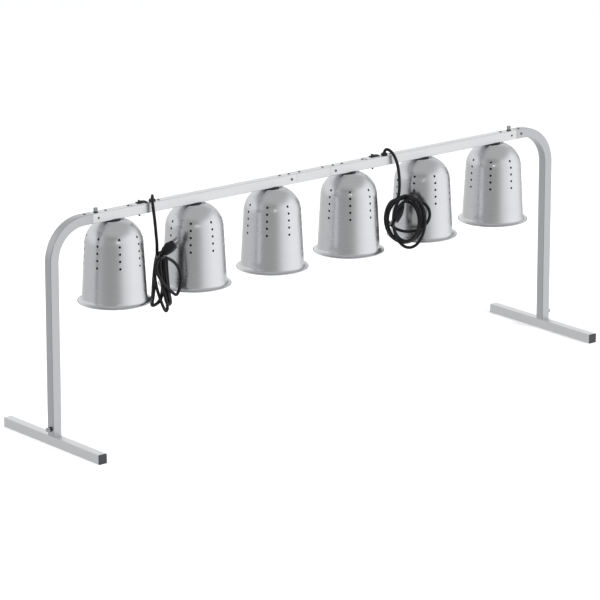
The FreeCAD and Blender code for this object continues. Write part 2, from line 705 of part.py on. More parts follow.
def bulb_glass(x):
    """Hollow reflector, open at the top of the neck that its metal base closes."""
    low = bulb_top() - BULB_LENGTH
    neck = bulb_top() - BULB_BASE_H
    neck_top = neck + BULB_NECK_H
    outside = bulb_solid(low, neck, neck_top, 0.0)
    inside = bulb_solid(low, neck, neck_top, BULB_GLASS)
    glass = outside.cut(inside)
    glass.translate(Vector(x, 0, 0))
    return glass


def bulb_base(x):
    """Screw base: a thin threaded cup with a contact button on top."""
    top = bulb_top()
    neck = top - BULB_BASE_H
    button = 1.5
    wall = 0.8
    outline = [(0.0, top), (4.0, top), (4.5, top - button), (BULB_BASE_R - 3.0, top - button)]
    thread_top = top - button - 2.5
    outline.append((BULB_BASE_R - 0.8, thread_top))
    turns = 6
    pitch = (thread_top - neck - 1.0) / turns
    for turn in range(turns):
        outline.append((BULB_BASE_R, thread_top - (turn + 0.5) * pitch))
        outline.append((BULB_BASE_R - 0.8, thread_top - (turn + 1.0) * pitch))
    outline.append((BULB_BASE_R - 0.8, neck))
    outline.append((BULB_BASE_R - 0.8 - wall, neck))
    outline.append((BULB_BASE_R - 0.8 - wall, thread_top - wall))
    outline.append((0.0, thread_top - wall))
    return revolved(outline, x)


# ---- switch group ------------------------------------------------------------------------
def switch_plate(side):
    """Thin plate under the switch's bezel."""
    x = strip_start(side) + PLATE_CENTRE
    plate = centred_block(x, 0, BAR_TOP, PLATE_SIZE)
    upright = [e for e in plate.Edges if abs(e.tangentAt(e.FirstParameter).z) > 0.9]
    plate = plate.makeFillet(3.0, upright)
    opening = (SWITCH_SIZE[0] + 0.4, SWITCH_SIZE[1] + 0.4, PLATE_SIZE[2])
    return plate.cut(centred_block(strip_start(side) + SWITCH_CENTRE, 0, BAR_TOP, opening))


def switch_body(side):
    """Bezel, box and terminals of the rocker switch, with the well that the rocker turns in."""
    x = strip_start(side) + SWITCH_CENTRE
    seat = BAR_TOP + PLATE_SIZE[2]
    bezel = centred_block(x, 0, seat, BEZEL_SIZE)
    top_edges = [e for e in bezel.Edges if min(v.Z for v in e.Vertexes) > seat + BEZEL_SIZE[2] - 0.01]
    bezel = bezel.makeFillet(0.8, top_edges)
    box = centred_block(x, 0, BAR_TOP - SWITCH_DEPTH, (SWITCH_SIZE[0], SWITCH_SIZE[1], SWITCH_DEPTH + PLATE_SIZE[2]))
    well_height = WELL_FLOOR + PLATE_SIZE[2] + BEZEL_SIZE[2] + 1.0
    well = centred_block(x, 0, BAR_TOP - WELL_FLOOR, (WELL_SIZE[0], WELL_SIZE[1], well_height))
    pin = rod(ROCKER_PIN_HOLE_R, (x, -SWITCH_SIZE[1] / 2.0, BAR_TOP + ROCKER_PIVOT), Y_AXIS, SWITCH_SIZE[1])
    body = bezel.fuse(box).cut([well, pin])
    terminal_low = BAR_TOP - SWITCH_DEPTH - TERMINAL[2]
    terminals = [centred_block(x + offset, 0, terminal_low, TERMINAL) for offset in (-7.0, 7.0)]
    return body.fuse(terminals)


def rocker(side):
    """Rocker with its pivot pins, stored with its -X end raised."""
    x = strip_start(side) + SWITCH_CENTRE
    pivot = Vector(x, 0, BAR_TOP + ROCKER_PIVOT)
    half_side = [(6.0, -4.0), (9.0, 1.0), (9.3, 8.4)]
    outline = half_side + [(0.0, 6.4)] + [(-a, b) for a, b in reversed(half_side)]
    points = [Vector(a, -ROCKER_WIDTH / 2.0, b) for a, b in outline]
    body = Part.Face(Part.makePolygon(points + [points[0]])).extrude(Y_AXIS * ROCKER_WIDTH)
    ridge = [e for e in body.Edges if min(v.Z for v in e.Vertexes) > 6.0]
    body = body.makeFillet(0.7, ridge)
    pins = Part.makeCylinder(ROCKER_PIN_R, 2.0 * ROCKER_PIN_REACH, Vector(0, -ROCKER_PIN_REACH, 0), Y_AXIS)
    shape = body.fuse(pins)
    shape.rotate(Vector(0, 0, 0), Y_AXIS, ROCKER_TILT)
    shape.translate(pivot)
    return shape


def strain_relief(side):
    """Bushing that grips the cord in the bar's top wall."""
    x = strip_start(side) + RELIEF_CENTRE
    inner = BAR_TOP - TUBE_WALL
    outline = [
        (0.0, BAR_TOP + RELIEF_TOP),
        (RELIEF_SLEEVE_R[1], BAR_TOP + RELIEF_TOP),
        (RELIEF_SLEEVE_R[0], BAR_TOP + RELIEF_FLANGE_H),
        (RELIEF_R - 1.0, BAR_TOP + RELIEF_FLANGE_H),
        (RELIEF_R, BAR_TOP + RELIEF_FLANGE_H - 1.0),
        (RELIEF_R, BAR_TOP),
        (RELIEF_NECK_R, BAR_TOP),
        (RELIEF_NECK_R, inner),
        (RELIEF_LOCK_R, inner),
        (RELIEF_NECK_R, inner - RELIEF_LOCK_H),
        (RELIEF_TAIL_R, inner - RELIEF_LOCK_H),
        (RELIEF_TAIL_R, inner - RELIEF_LOCK_H - RELIEF_TAIL_H),
        (0.0, inner - RELIEF_LOCK_H - RELIEF_TAIL_H),
    ]
    return revolved(outline, x)


def strip_wiring(side):
    """Lead along the strip with a drop through each nipple to its socket."""
    start = strip_start(side)
    trunk_z = BAR_Z + WIRE_Z
    branch_z = BAR_Z + DROP_Z
    drop = branch_z - BAR_UNDER - DROP_TO
    trunk = rod(WIRE_R, (start + FIRST_LAMP - 2.0 * WIRE_R, WIRE_Y, trunk_z), X_AXIS, 2.0 * LAMP_PITCH + 4.0 * WIRE_R)
    branches = []
    for lamp in range(3):
        x = start + FIRST_LAMP + lamp * LAMP_PITCH
        branches.append(rod(BRANCH_R, (x, WIRE_Y, trunk_z), Z_AXIS, branch_z - trunk_z))
        branches.append(rod(BRANCH_R, (x, 0, branch_z), Y_AXIS, WIRE_Y))
        branches.append(rod(BRANCH_R, (x, 0, branch_z), Z_AXIS * -1.0, drop))
        for y in (0.0, WIRE_Y):
            branches.append(Part.makeSphere(WIRE_JOINT_R, Vector(x, y, branch_z)))
    return trunk.fuse(branches)


# ---- cords -------------------------------------------------------------------------------
def cord_tube(name, route):
    """Round cord along straight runs joined by tangent arcs."""
    points = [Vector(*p) for p in route]
    edges = []
    radii = []
    at = points[0]
    for before, corner, after in zip(points, points[1:], points[2:]):
        run_in = corner - before
        run_out = after - corner
        cut = ROUTE_SHARE * min(run_in.Length, run_out.Length)
        turn = run_in.getAngle(run_out)
        radii.append(cut / math.tan(turn / 2.0))
        run_in.normalize()
        run_out.normalize()
        arc_start = corner - run_in * cut
        arc_end = corner + run_out * cut
        bisector = run_out - run_in
        bisector.normalize()
        middle = corner + bisector * (radii[-1] / math.cos(turn / 2.0) - radii[-1])
        edges.append(Part.LineSegment(at, arc_start).toShape())
        edges.append(Part.Arc(arc_start, middle, arc_end).toShape())
        at = arc_end
    edges.append(Part.LineSegment(at, points[-1]).toShape())
    path = Part.Wire(edges)
    circle = Part.Wire(Part.makeCircle(CORD_R, points[0], points[1] - points[0]))
    tube = path.makePipeShell([circle], True, False)
    expected = math.pi * CORD_R ** 2 * path.Length
    print(name, "radii", [round(r, 1) for r in radii], "length", round(path.Length, 1))
    print(name, "volume over section times length", round(tube.Volume / expected, 4))
    return tube


def outline_wire(outline, y):
    """Smooth closed wire through points given in X and Z, at one Y."""
    curve = Part.BSplineCurve()
    curve.interpolate([Vector(x, y, z) for x, z in outline], PeriodicFlag=True)
    return Part.Wire(curve.toShape())


def cord_hank():
    """Outer shape of the left cord's hank, which widens from its back outline to its front one."""
    back = outline_wire(HANK_BACK_OUTLINE, HANK_BACK)
    front = outline_wire(HANK_FRONT_OUTLINE, HANK_FRONT)
    return Part.makeLoft([back, front], True, True)


def ellipse_face(across, up, centre=(0.0, 0.0)):
    """Upright ellipse in the XZ plane."""
    tall = Part.Ellipse(Vector(centre[0], 0, centre[1] + up), Vector(centre[0] + across, 0, centre[1]),
                        Vector(centre[0], 0, centre[1]))
    return Part.Face(Part.Wire(tall.toShape()))


def cord_coil():
    """Outer shape of the right cord's coil: a thick flat ring."""
    ring = ellipse_face(*COIL_OUTER).extrude(Y_AXIS * COIL_THICK)
    hole = ellipse_face(*COIL_INNER, centre=COIL_HOLE_SHIFT).extrude(Y_AXIS * COIL_THICK)
    coil = ring.cut(hole)
    coil.translate(Y_AXIS * (-COIL_THICK / 2.0))
    coil.rotate(Vector(0, 0, 0), X_AXIS, -COIL_LEAN)
    coil.rotate(Vector(0, 0, 0), Z_AXIS, -COIL_YAW)
    coil.translate(Vector(*COIL_CENTRE))
    return coil


def mains_plug(at, along, roll):
    """Moulded three-pin plug: body, two blades and a round earth pin."""
    nose_low = PLUG_LENGTH - PLUG_NOSE
    outline = [
        (0.0, 0.0),
        (PLUG_GRIP_R, 0.0),
        (PLUG_GRIP_R + 2.8, 6.0),
        (PLUG_R - 1.7, 13.0),
        (PLUG_R, nose_low - 6.0),
        (PLUG_R, nose_low + 3.0),
        (PLUG_R - 2.4, PLUG_LENGTH - 1.5),
        (PLUG_R - 3.4, PLUG_LENGTH),
        (0.0, PLUG_LENGTH),
    ]
    sides = Part.makeBox(2.0 * PLUG_FLAT, 4.0 * PLUG_R, PLUG_LENGTH, Vector(-PLUG_FLAT, -2.0 * PLUG_R, 0))
    pieces = [revolved(outline, 0.0).common(sides)]
    for sign in (-1.0, 1.0):
        y = sign * BLADE_SPACING / 2.0
        low = (-4.0 - BLADE[1] / 2.0, y - BLADE[0] / 2.0, PLUG_LENGTH)
        high = (-4.0 + BLADE[1] / 2.0, y + BLADE[0] / 2.0, PLUG_LENGTH + BLADE[2])
        pieces.append(block(low, high))
    pin = rod(EARTH_PIN_R, (EARTH_PIN_OFFSET - 1.5, 0, PLUG_LENGTH), Z_AXIS, EARTH_PIN_LENGTH - EARTH_PIN_R)
    tip = Part.makeSphere(EARTH_PIN_R, Vector(EARTH_PIN_OFFSET - 1.5, 0, PLUG_LENGTH + EARTH_PIN_LENGTH - EARTH_PIN_R))
    pieces.append(pin.fuse(tip))
    turn = FreeCAD.Rotation(Z_AXIS, Vector(*along)).multiply(FreeCAD.Rotation(Z_AXIS, roll))
    placed = []
    for piece in pieces:
        piece.Placement = FreeCAD.Placement(Vector(*at), turn).multiply(piece.Placement)
        placed.append(piece)
    return placed


# ---- every node --------------------------------------------------------------------------
def build_frame():
    for name, side in SIDES:
        write(name + "_foot_tube", foot_tube(side))
        write(name + "_foot_spigot", foot_spigot(side))
        write(name + "_leg_tube", leg_tube(side))
        write(name + "_leg_insert", leg_insert(side))
        write(name + "_strip_housing", strip_housing(side))
    write("foot_end_caps", [foot_cap(side, end) for _, side in SIDES for end in (-1.0, 1.0)])
    write("foot_spigot_bolts", [spigot_bolt(side) for _, side in SIDES])
    write("centre_connector", centre_connector())
    write("centre_joiner", centre_joiner())
    write("joint_screws", joint_screws())
    write("bar_drain_plugs", drain_plugs())
    for name, at, outward in thumbscrew_places():
        write(name + "_thumbscrew", thumbscrew(at, outward))
        write(name + "_washer", thumb_washer(at, outward))


def build_lamps():
    places = lamp_places()
    for number, shade in enumerate(lamp_shades(), start=1):
        x = places[number - 1]
        write("lamp_shade_%d" % number, shade)
        write("lamp_socket_%d" % number, lamp_socket(x))
        write("heat_bulb_%d" % number, bulb_glass(x))
    write("heat_bulb_bases", [bulb_base(x) for x in places])
    write("lamp_nipples", [lamp_nipple(x) for x in places])
    write("lamp_spacers", [lamp_spacer(x) for x in places])
    write("lamp_lock_nuts", [lamp_nut(x) for x in places])


def build_switches():
    for name, side in SIDES:
        write(name + "_switch_body", switch_body(side))
        write(name + "_switch_rocker", rocker(side))
        write(name + "_strain_relief", strain_relief(side))
    write("switch_plates", [switch_plate(side) for _, side in SIDES])
    write("strip_wiring", [strip_wiring(side) for _, side in SIDES])


def build_cords():
    write("left_cord", cord_tube("left_cord", LEFT_ROUTE))
    write("right_cord", cord_tube("right_cord", RIGHT_ROUTE))
    write("left_cord_hank", cord_hank())
    write("right_cord_coil", cord_coil())
    write("left_plug", mains_plug(LEFT_PLUG_AT, LEFT_PLUG_ALONG, LEFT_PLUG_ROLL))
    write("right_plug", mains_plug(RIGHT_PLUG_AT, RIGHT_PLUG_ALONG, RIGHT_PLUG_ROLL))


os.makedirs("parts", exist_ok=True)
build_frame()
build_lamps()
build_switches()
build_cords()
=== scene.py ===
"""Looks of the free-standing heat lamp warmer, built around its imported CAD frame.

Metres, in the frame's own axes: X along the lamp bar, Y away from the serving side, Z up.
"""

import json
import math

import bmesh
import bpy
from mathutils import Matrix, Vector


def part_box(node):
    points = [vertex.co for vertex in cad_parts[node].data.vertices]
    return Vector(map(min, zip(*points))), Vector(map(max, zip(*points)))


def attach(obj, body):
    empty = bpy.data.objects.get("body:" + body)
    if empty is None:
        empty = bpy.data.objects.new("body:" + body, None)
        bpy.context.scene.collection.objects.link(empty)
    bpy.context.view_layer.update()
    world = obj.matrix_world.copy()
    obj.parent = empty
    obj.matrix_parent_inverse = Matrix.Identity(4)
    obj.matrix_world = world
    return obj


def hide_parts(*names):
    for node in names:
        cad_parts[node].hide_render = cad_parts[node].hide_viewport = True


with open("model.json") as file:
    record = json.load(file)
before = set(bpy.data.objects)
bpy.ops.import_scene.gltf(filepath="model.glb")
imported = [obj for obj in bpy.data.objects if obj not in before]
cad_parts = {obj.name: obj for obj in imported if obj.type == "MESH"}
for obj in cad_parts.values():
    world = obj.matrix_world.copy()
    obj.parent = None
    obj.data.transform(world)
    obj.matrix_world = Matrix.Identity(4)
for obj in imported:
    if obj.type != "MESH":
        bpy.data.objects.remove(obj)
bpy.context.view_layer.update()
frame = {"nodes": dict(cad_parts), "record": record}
NODES = frame["nodes"]

# ---- camera ------------------------------------------------------------------------------
CAMERA_AZIMUTH = math.radians(39.45)
CAMERA_ELEVATION = math.radians(15.81)
CAMERA_TARGET = Vector((-0.0368, 0.0, 0.2358))
CAMERA_DISTANCE = 10.305
CAMERA_LENS = 234.7

# ---- cords -------------------------------------------------------------------------------
CORD_DIAMETER = 0.0082
LEFT_ROUTE = [
    (-0.52195, 0.0, 0.5907),
    (-0.5228, -0.0014, 0.5966),
    (-0.5268, -0.0072, 0.6006),
    (-0.5322, -0.0142, 0.5994),
    (-0.5366, -0.0200, 0.5912),
    (-0.5374, -0.0230, 0.5780),
    (-0.5350, -0.0240, 0.5570),
    (-0.5318, -0.0245, 0.5300),
    (-0.5290, -0.0240, 0.5030),
    (-0.5256, -0.0230, 0.4780),
    (-0.5246, -0.0215, 0.4550),
]
RIGHT_ROUTE = [
    (0.25275, 0.0, 0.5907),
    (0.2534, -0.0016, 0.5970),
    (0.2560, -0.0068, 0.6008),
    (0.2622, -0.0146, 0.5968),
    (0.2698, -0.0212, 0.5835),
    (0.2756, -0.0260, 0.5650),
    (0.2800, -0.0280, 0.5409),
    (0.2822, -0.0290, 0.5134),
    (0.2810, -0.0300, 0.4870),
    (0.2740, -0.0320, 0.4650),
]

# The left hank is six long loops, one in front of the other. Each runs down from the neck to its
# lowest point and back up: X where it leaves and rejoins the neck, its low point in X and Z, the
# neck's Z, how far each side bulges and where that bulge sits, how square it is, and its Y.
# An X holds for the plane Y = HANK_PLANE, and a loop in front of that plane steps to the left.
HANK_PLANE = -0.030
HANK_FAN = 0.823
HANK_POINTS = 13
HANK_FOLD = 0.020           # how wide the fold at a loop's low point is held open
HANK_LOOPS = [
    dict(ends=(-0.5290, -0.5130), low=(-0.5470, 0.3135), neck=0.450, bulge=(0.006, 0.013),
         seat=(-0.45, 2.0), power=0.9, y=-0.020),
    dict(ends=(-0.5270, -0.5120), low=(-0.5440, 0.3170), neck=0.449, bulge=(0.005, 0.013),
         seat=(-0.45, 2.0), power=0.9, y=-0.028),
    dict(ends=(-0.5260, -0.5110), low=(-0.5030, 0.2975), neck=0.450, bulge=(0.021, -0.0025),
         seat=(-0.33, -0.9), power=1.5, y=-0.036),
    dict(ends=(-0.5215, -0.4990), low=(-0.4925, 0.3160), neck=0.447, bulge=(0.010, -0.001),
         seat=(-0.26, -2.5), power=0.6, y=-0.044),
    dict(ends=(-0.5150, -0.5050), low=(-0.4955, 0.3220), neck=0.446, bulge=(0.009, -0.001),
         seat=(-0.26, -2.5), power=0.6, y=-0.052),
    dict(ends=(-0.5100, -0.5190), low=(-0.4690, 0.3440), neck=0.451, bulge=(-0.036, -0.028),
         seat=(-0.30, -0.4), power=1.4, y=-0.060),
]
HANK_TAIL = [(-0.5220, -0.053, 0.4495), (-0.5205, -0.048, 0.4515), (-0.5155, -0.046, 0.4560)]

# The right coil's turns face the camera's side. Each is an ellipse: how far its centre lies to the
# right of the lamp behind it, its height, its half width and half height, and how far it stands
# forward of that lamp's axis.
COIL_LAMP_X = 0.38735
COIL_FACING = math.radians(39.45)
COIL_LEAN = 0.10
COIL_POINTS = 14
COIL_START = math.radians(134.0)
COIL_TURNS = [
    (-0.0494, 0.4124, 0.0524, 0.0656, 0.0950),
    (-0.0399, 0.4260, 0.0593, 0.0474, 0.1015),
    (-0.0506, 0.4111, 0.0448, 0.0591, 0.1080),
    (-0.0371, 0.4113, 0.0432, 0.0734, 0.1145),
    (-0.0451, 0.4085, 0.0353, 0.0513, 0.1210),
]
COIL_END = 4.93             # turns from start to end
COIL_BLEND = 0.72           # share of a turn after which it eases into the next
COIL_TUCK = 0.022           # how far the last turn steps back to the plug inside the ring
COIL_TAIL = [(0.2860, -0.0422, 0.4486), (0.2821, -0.0403, 0.4409)]

# ---- plugs -------------------------------------------------------------------------------
LEFT_PLUG = dict(at=(-0.5300, -0.0464, 0.4550), along=(0.59, -0.49, 0.64), roll=20.0)
RIGHT_PLUG = dict(at=(0.2835, -0.0410, 0.4440), along=(-0.71, -0.12, -0.69), roll=60.0)
PLUG_LENGTH = 0.044
PLUG_EDGE = 0.0012          # radius of the rounded edge round the plug's face
PLUG_STEPS = 88
PLUG_RIBS = 5               # rings on the bend relief, and ridges on the grip
RELIEF_END = 0.012
RELIEF_GROOVE = 0.0009
GRIP_START = 0.015
GRIP_END = 0.030
GRIP_GROOVE = 0.00055
BLADE_SIZE = (0.0015, 0.0063, 0.016)
BLADE_SPACING = 0.0127
BLADE_SHIFT = -0.004
PIN_RADIUS = 0.0024
PIN_LENGTH = 0.0185
PIN_SHIFT = 0.0065
PIN_TIP_STEPS = 7.2         # sections over the pin's domed tip, which ends in a small flat
PRONG_ROOT = 0.0005         # how far the prongs reach back into the plug's body

# ---- frame sizes that materials follow -----------------------------------------------------
TUBE = 0.0254
LEG_BEND = 0.095
STRIPE = 2400.0             # texture scale of the streaks across a drawn tube
RUN = 9.0                   # the same along it
BEND_RUN = 6.0              # the same along a bent leg
RING = 1500.0               # texture scale of the rings along a spun shade
BROAD_RING = 60.0


# ---- small tools for node materials --------------------------------------------------------
class NodeTree:
    """A node tree under construction, with short ways to add to it."""

    def __init__(self, tree):
        self.nodes = tree.nodes
        self.links = tree.links

    def add(self, kind, **properties):
        node = self.nodes.new(kind)
        for key, value in properties.items():
            setattr(node, key, value)
        return node

    def math(self, operation, first, second=0.0):
        node = self.add("ShaderNodeMath", operation=operation)
        for socket, value in zip(node.inputs, (first, second)):
            self.feed(socket, value)
        return node.outputs[0]

    def feed(self, socket, value):
        if isinstance(value, (int, float, tuple)):
            socket.default_value = value
        else:
            self.links.new(value, socket)

    def parts(self, vector):
        """X, Y and Z of a vector."""
        split = self.add("ShaderNodeSeparateXYZ")
        self.feed(split.inputs[0], vector)
        return split.outputs

    def blend(self, first, second, share):
        """A sum in which the first value has this share and the second has the rest."""
        scaled = [self.math("MULTIPLY", part, part_share)
                  for part, part_share in ((first, share), (second, 1.0 - share))]
        return self.math("ADD", *scaled)

    def reach(self, first, second):
        """Length of the sloping side of a right triangle."""
        squares = [self.math("MULTIPLY", side, side) for side in (first, second)]
        return self.math("SQRT", self.math("ADD", *squares))

    def dot(self, first, second):
        node = self.add("ShaderNodeVectorMath", operation="DOT_PRODUCT")
        self.feed(node.inputs[0], first)
        self.feed(node.inputs[1], second)
        return node.outputs["Value"]

    def vector(self, x, y, z):
        join = self.add("ShaderNodeCombineXYZ")
        for socket, value in zip(join.inputs, (x, y, z)):
            self.feed(socket, value)
        return join.outputs[0]

    def noise(self, vector, scale=1.0, detail=2.0, roughness=0.5):
        node = self.add("ShaderNodeTexNoise")
        self.feed(node.inputs["Vector"], vector)
        node.inputs["Scale"].default_value = scale
        node.inputs["Detail"].default_value = detail
        node.inputs["Roughness"].default_value = roughness
        return node.outputs["Fac"]

    def span(self, value, low, high, from_low=0.3, from_high=0.7, easing="LINEAR"):
        node = self.add("ShaderNodeMapRange", interpolation_type=easing)
        self.feed(node.inputs["Value"], value)
        for socket, number in zip(node.inputs[1:5], (from_low, from_high, low, high)):
            socket.default_value = number
        return node.outputs[0]


class Surface(NodeTree):
    """A material under construction: its nodes, its shader and short ways to set them."""

    def __init__(self, name, color, roughness, metallic=0.0, **sockets):
        self.material = bpy.data.materials.new(name)
        self.material.use_nodes = True
        super().__init__(self.material.node_tree)
        self.shader = self.nodes["Principled BSDF"]
        self.set("Base Color", (*color, 1.0))
        self.set("Roughness", roughness)
        self.set("Metallic", metallic)
        for socket, value in sockets.items():
            self.set(socket.replace("_", " "), value)
        self.material.diffuse_color = (*color, 1.0)

    def set(self, socket, value):
        self.shader.inputs[socket].default_value = value

    def place(self):
        """X, Y and Z of the shaded point in the frame's axes."""
        return self.parts(self.add("ShaderNodeTexCoord").outputs["Object"])

    def tint(self, factor, dark, light):
        """Colour the surface between two tones, or between a tone and another node's colour."""
        node = self.add("ShaderNodeMix", data_type="RGBA")
        self.feed(node.inputs["Factor"], factor)
        for socket, tone in zip((node.inputs[6], node.inputs[7]), (dark, light)):
            self.feed(socket, (*tone, 1.0) if isinstance(tone, tuple) else tone)
        self.links.new(node.outputs[2], self.shader.inputs["Base Color"])
        return node.outputs[2]

    def bump(self, height, depth, strength=1.0):
        node = self.add("ShaderNodeBump")
        node.inputs["Strength"].default_value = strength
        node.inputs["Distance"].default_value = depth
        self.feed(node.inputs["Height"], height)
        self.links.new(node.outputs[0], self.shader.inputs["Normal"])

    def rough(self, value):
        self.links.new(value, self.shader.inputs["Roughness"])


def shade_of(color, factor):
    return tuple(channel * factor for channel in color)


# ---- metals ------------------------------------------------------------------------------
def drawn_metal(name, color, across):
    """Satin tube with fine streaks along its length and faint handling marks."""
    metal = Surface(name, color, 0.36, metallic=1.0)
    x, y, z = metal.place()
    fine = metal.noise(metal.vector(*across(metal, x, y, z)), detail=3.0, roughness=0.65)
    marks = metal.noise(metal.vector(x, y, z), scale=22.0, detail=3.0)
    both = metal.blend(fine, marks, 0.7)
    metal.tint(both, shade_of(color, 0.90), shade_of(color, 1.06))
    metal.rough(metal.span(both, 0.29, 0.43))
    metal.bump(fine, 0.00002, 0.5)
    return metal.material


def streaks_along_x(metal, x, y, z):
    return [metal.math("MULTIPLY", part, scale) for part, scale in ((x, RUN), (y, STRIPE), (z, STRIPE))]


def streaks_along_y(metal, x, y, z):
    return [metal.math("MULTIPLY", part, scale) for part, scale in ((x, STRIPE), (y, RUN), (z, STRIPE))]


def streaks_round_bend(centre_x, centre_z, side):
    """Streaks that run up the leg, round its bend and along the bar."""
    def across(metal, x, y, z):
        aside = metal.math("MULTIPLY", metal.math("SUBTRACT", x, centre_x), side)
        out = metal.math("MAXIMUM", aside, 0.0)
        up = metal.math("MAXIMUM", metal.math("SUBTRACT", z, centre_z), 0.0)
        reach = metal.reach(out, up)
        run = metal.math("ADD", x, z)
        scaled = ((reach, STRIPE), (y, STRIPE), (run, BEND_RUN))
        return [metal.math("MULTIPLY", part, scale) for part, scale in scaled]
    return across


def spun_metal(name, color, middle):
    """Spun shade: fine rings round the lamp's axis and soft uneven polish outside; inside, a rougher
    finish with painted shade that darkens it nearly to black.
    """
    metal = Surface(name, color, 0.22, metallic=1.0, Anisotropic=0.45)
    x, y, z = metal.place()
    aside = metal.math("SUBTRACT", x, middle.x)
    run = metal.math("SUBTRACT", z, metal.reach(aside, y))
    along = metal.vector(metal.math("MULTIPLY", run, RING), 0.0, 0.0)
    rings = metal.noise(along, detail=4.0, roughness=0.7)
    broad = metal.noise(metal.vector(metal.math("MULTIPLY", run, BROAD_RING), 0.0, 0.0), detail=1.0)
    cloud = metal.noise(metal.vector(x, y, z), scale=14.0, detail=2.0)
    both = metal.blend(rings, cloud, 0.6)
    outward = metal.vector(aside, y, metal.math("SUBTRACT", z, middle.z))
    facing = metal.dot(metal.add("ShaderNodeNewGeometry").outputs["Normal"], outward)
    inside = metal.math("LESS_THAN", facing, 0.0)
    outside = metal.tint(both, shade_of(color, 0.93), shade_of(color, 1.05))
    # Painted shade: the inner surfaces are coloured near-black for the unlit inside of the shade.
    metal.tint(inside, outside, SPUN_INSIDE_PAINTED_SHADE)
    polish = metal.blend(broad, both, 0.5)
    dullness = metal.math("MULTIPLY", inside, 0.3)
    metal.rough(metal.math("ADD", metal.span(polish, 0.21, 0.30), dullness))
    metal.bump(rings, 0.00002, 0.35)
    tangent = metal.add("ShaderNodeTangent", direction_type="RADIAL", axis="Z")
    metal.links.new(tangent.outputs[0], metal.shader.inputs["Tangent"])
    return metal.material


def machined_metal(name, color, roughness, grain=900.0):
    """Small turned or plated part with a fine grain."""
    metal = Surface(name, color, roughness, metallic=1.0)
    grainy = metal.noise(metal.vector(*metal.place()), scale=grain, detail=3.0)
    metal.tint(grainy, shade_of(color, 0.86), shade_of(color, 1.08))
    metal.rough(metal.span(grainy, roughness - 0.07, roughness + 0.08))
    metal.bump(grainy, 0.00003, 0.4)
    return metal.material


# ---- plastics, glass and ceramic -----------------------------------------------------------
def moulded(name, color, roughness, grain=1400.0, depth=0.00004):
    """Moulded plastic or rubber with a fine spark-eroded grain and slightly worn gloss."""
    plastic = Surface(name, color, roughness, Specular_IOR_Level=0.36)
    where = plastic.vector(*plastic.place())
    grainy = plastic.noise(where, scale=grain, detail=2.0)
    worn = plastic.noise(where, scale=45.0, detail=3.0)
    plastic.tint(worn, shade_of(color, 0.75), shade_of(color, 1.3))
    plastic.rough(plastic.span(worn, roughness - 0.08, roughness + 0.1))
    plastic.bump(grainy, depth, 0.6)
    return plastic.material


def cord_jacket():
    """Smooth extruded jacket with faint waviness and dust."""
    jacket = Surface("cord_jacket", (0.006, 0.006, 0.007), 0.36, Specular_IOR_Level=0.34)
    where = jacket.vector(*jacket.place())
    dust = jacket.noise(where, scale=120.0, detail=4.0)
    wave = jacket.noise(where, scale=380.0, detail=1.0)
    jacket.tint(dust, (0.004, 0.004, 0.005), (0.010, 0.010, 0.012))
    jacket.rough(jacket.span(dust, 0.30, 0.42))
    jacket.bump(wave, 0.0001, 0.35)
    return jacket.material


def porcelain():
    glaze = Surface("porcelain_glaze", (0.86, 0.84, 0.79), 0.18, Coat_Weight=0.6, Coat_Roughness=0.06)
    speckle = glaze.noise(glaze.vector(*glaze.place()), scale=260.0, detail=3.0)
    glaze.tint(speckle, (0.80, 0.77, 0.71), (0.89, 0.87, 0.83))
    glaze.bump(speckle, 0.00005, 0.3)
    return glaze.material


def reflector_glass(face_z):
    """Bulb with a frosted face and silvered sides, which meet at a height just above the face."""
    glass = Surface("reflector_glass", (0.90, 0.90, 0.88), 0.4, Specular_IOR_Level=0.6)
    x, y, z = glass.place()
    frost = glass.noise(glass.vector(x, y, z), scale=700.0, detail=3.0)
    silvered = glass.span(z, 0.0, 1.0, face_z, face_z + 0.004)
    glass.tint(silvered, (0.90, 0.89, 0.86), (0.78, 0.79, 0.81))
    glass.links.new(silvered, glass.shader.inputs["Metallic"])
    even = glass.span(silvered, 0.42, 0.10, 0.0, 1.0)
    glass.rough(glass.math("ADD", even, glass.math("MULTIPLY", frost, 0.06)))
    glass.bump(frost, 0.00005, 0.4)
    return glass.material


def woven_sleeve():
    """Braided heat-proof sleeve on the lead inside the bar."""
    sleeve = Surface("woven_sleeve", (0.78, 0.77, 0.72), 0.8)
    x, y, z = sleeve.place()
    one = sleeve.math("SINE", sleeve.math("MULTIPLY", sleeve.math("ADD", x, z), 5200.0))
    two = sleeve.math("SINE", sleeve.math("MULTIPLY", sleeve.math("SUBTRACT", x, y), 5200.0))
    braid = sleeve.math("MULTIPLY", one, two)
    sleeve.tint(sleeve.span(braid, 0.0, 1.0, -1.0, 1.0), (0.62, 0.61, 0.56), (0.86, 0.85, 0.80))
    sleeve.bump(braid, 0.0002, 0.6)
    return sleeve.material


# ---- materials on the CAD nodes ------------------------------------------------------------
BAR_METAL = (0.80, 0.805, 0.815)
# The legs are the same aluminium as the bar; their darker tone is painted shade, standing in for the
# legs catching less light.
LEG_METAL_PAINTED_SHADE = (0.575, 0.58, 0.592)
SPUN_METAL = (0.77, 0.775, 0.79)
# Near-black on the shades' inner surfaces: painted shade for the unlit inside, seen through the vents.
SPUN_INSIDE_PAINTED_SHADE = (0.045, 0.045, 0.047)


def leg_material(side_name):
    low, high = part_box(side_name + "_leg_tube")
    side = -1.0 if side_name == "left" else 1.0
    outer = low.x if side < 0 else high.x
    centre_x = outer - side * (TUBE / 2 + LEG_BEND)
    centre_z = high.z - TUBE / 2 - LEG_BEND
    streaks = streaks_round_bend(centre_x, centre_z, side)
    # Painted shade: the legs take a darker copy of the bar's aluminium tone.
    return drawn_metal(side_name + "_leg_satin_painted_shade", LEG_METAL_PAINTED_SHADE, streaks)


def shade_middle(number):
    """A point on the lamp's axis, low inside its shade."""
    low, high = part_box("lamp_shade_%d" % number)
    return Vector(((low.x + high.x) / 2, 0.0, low.z + 0.012))


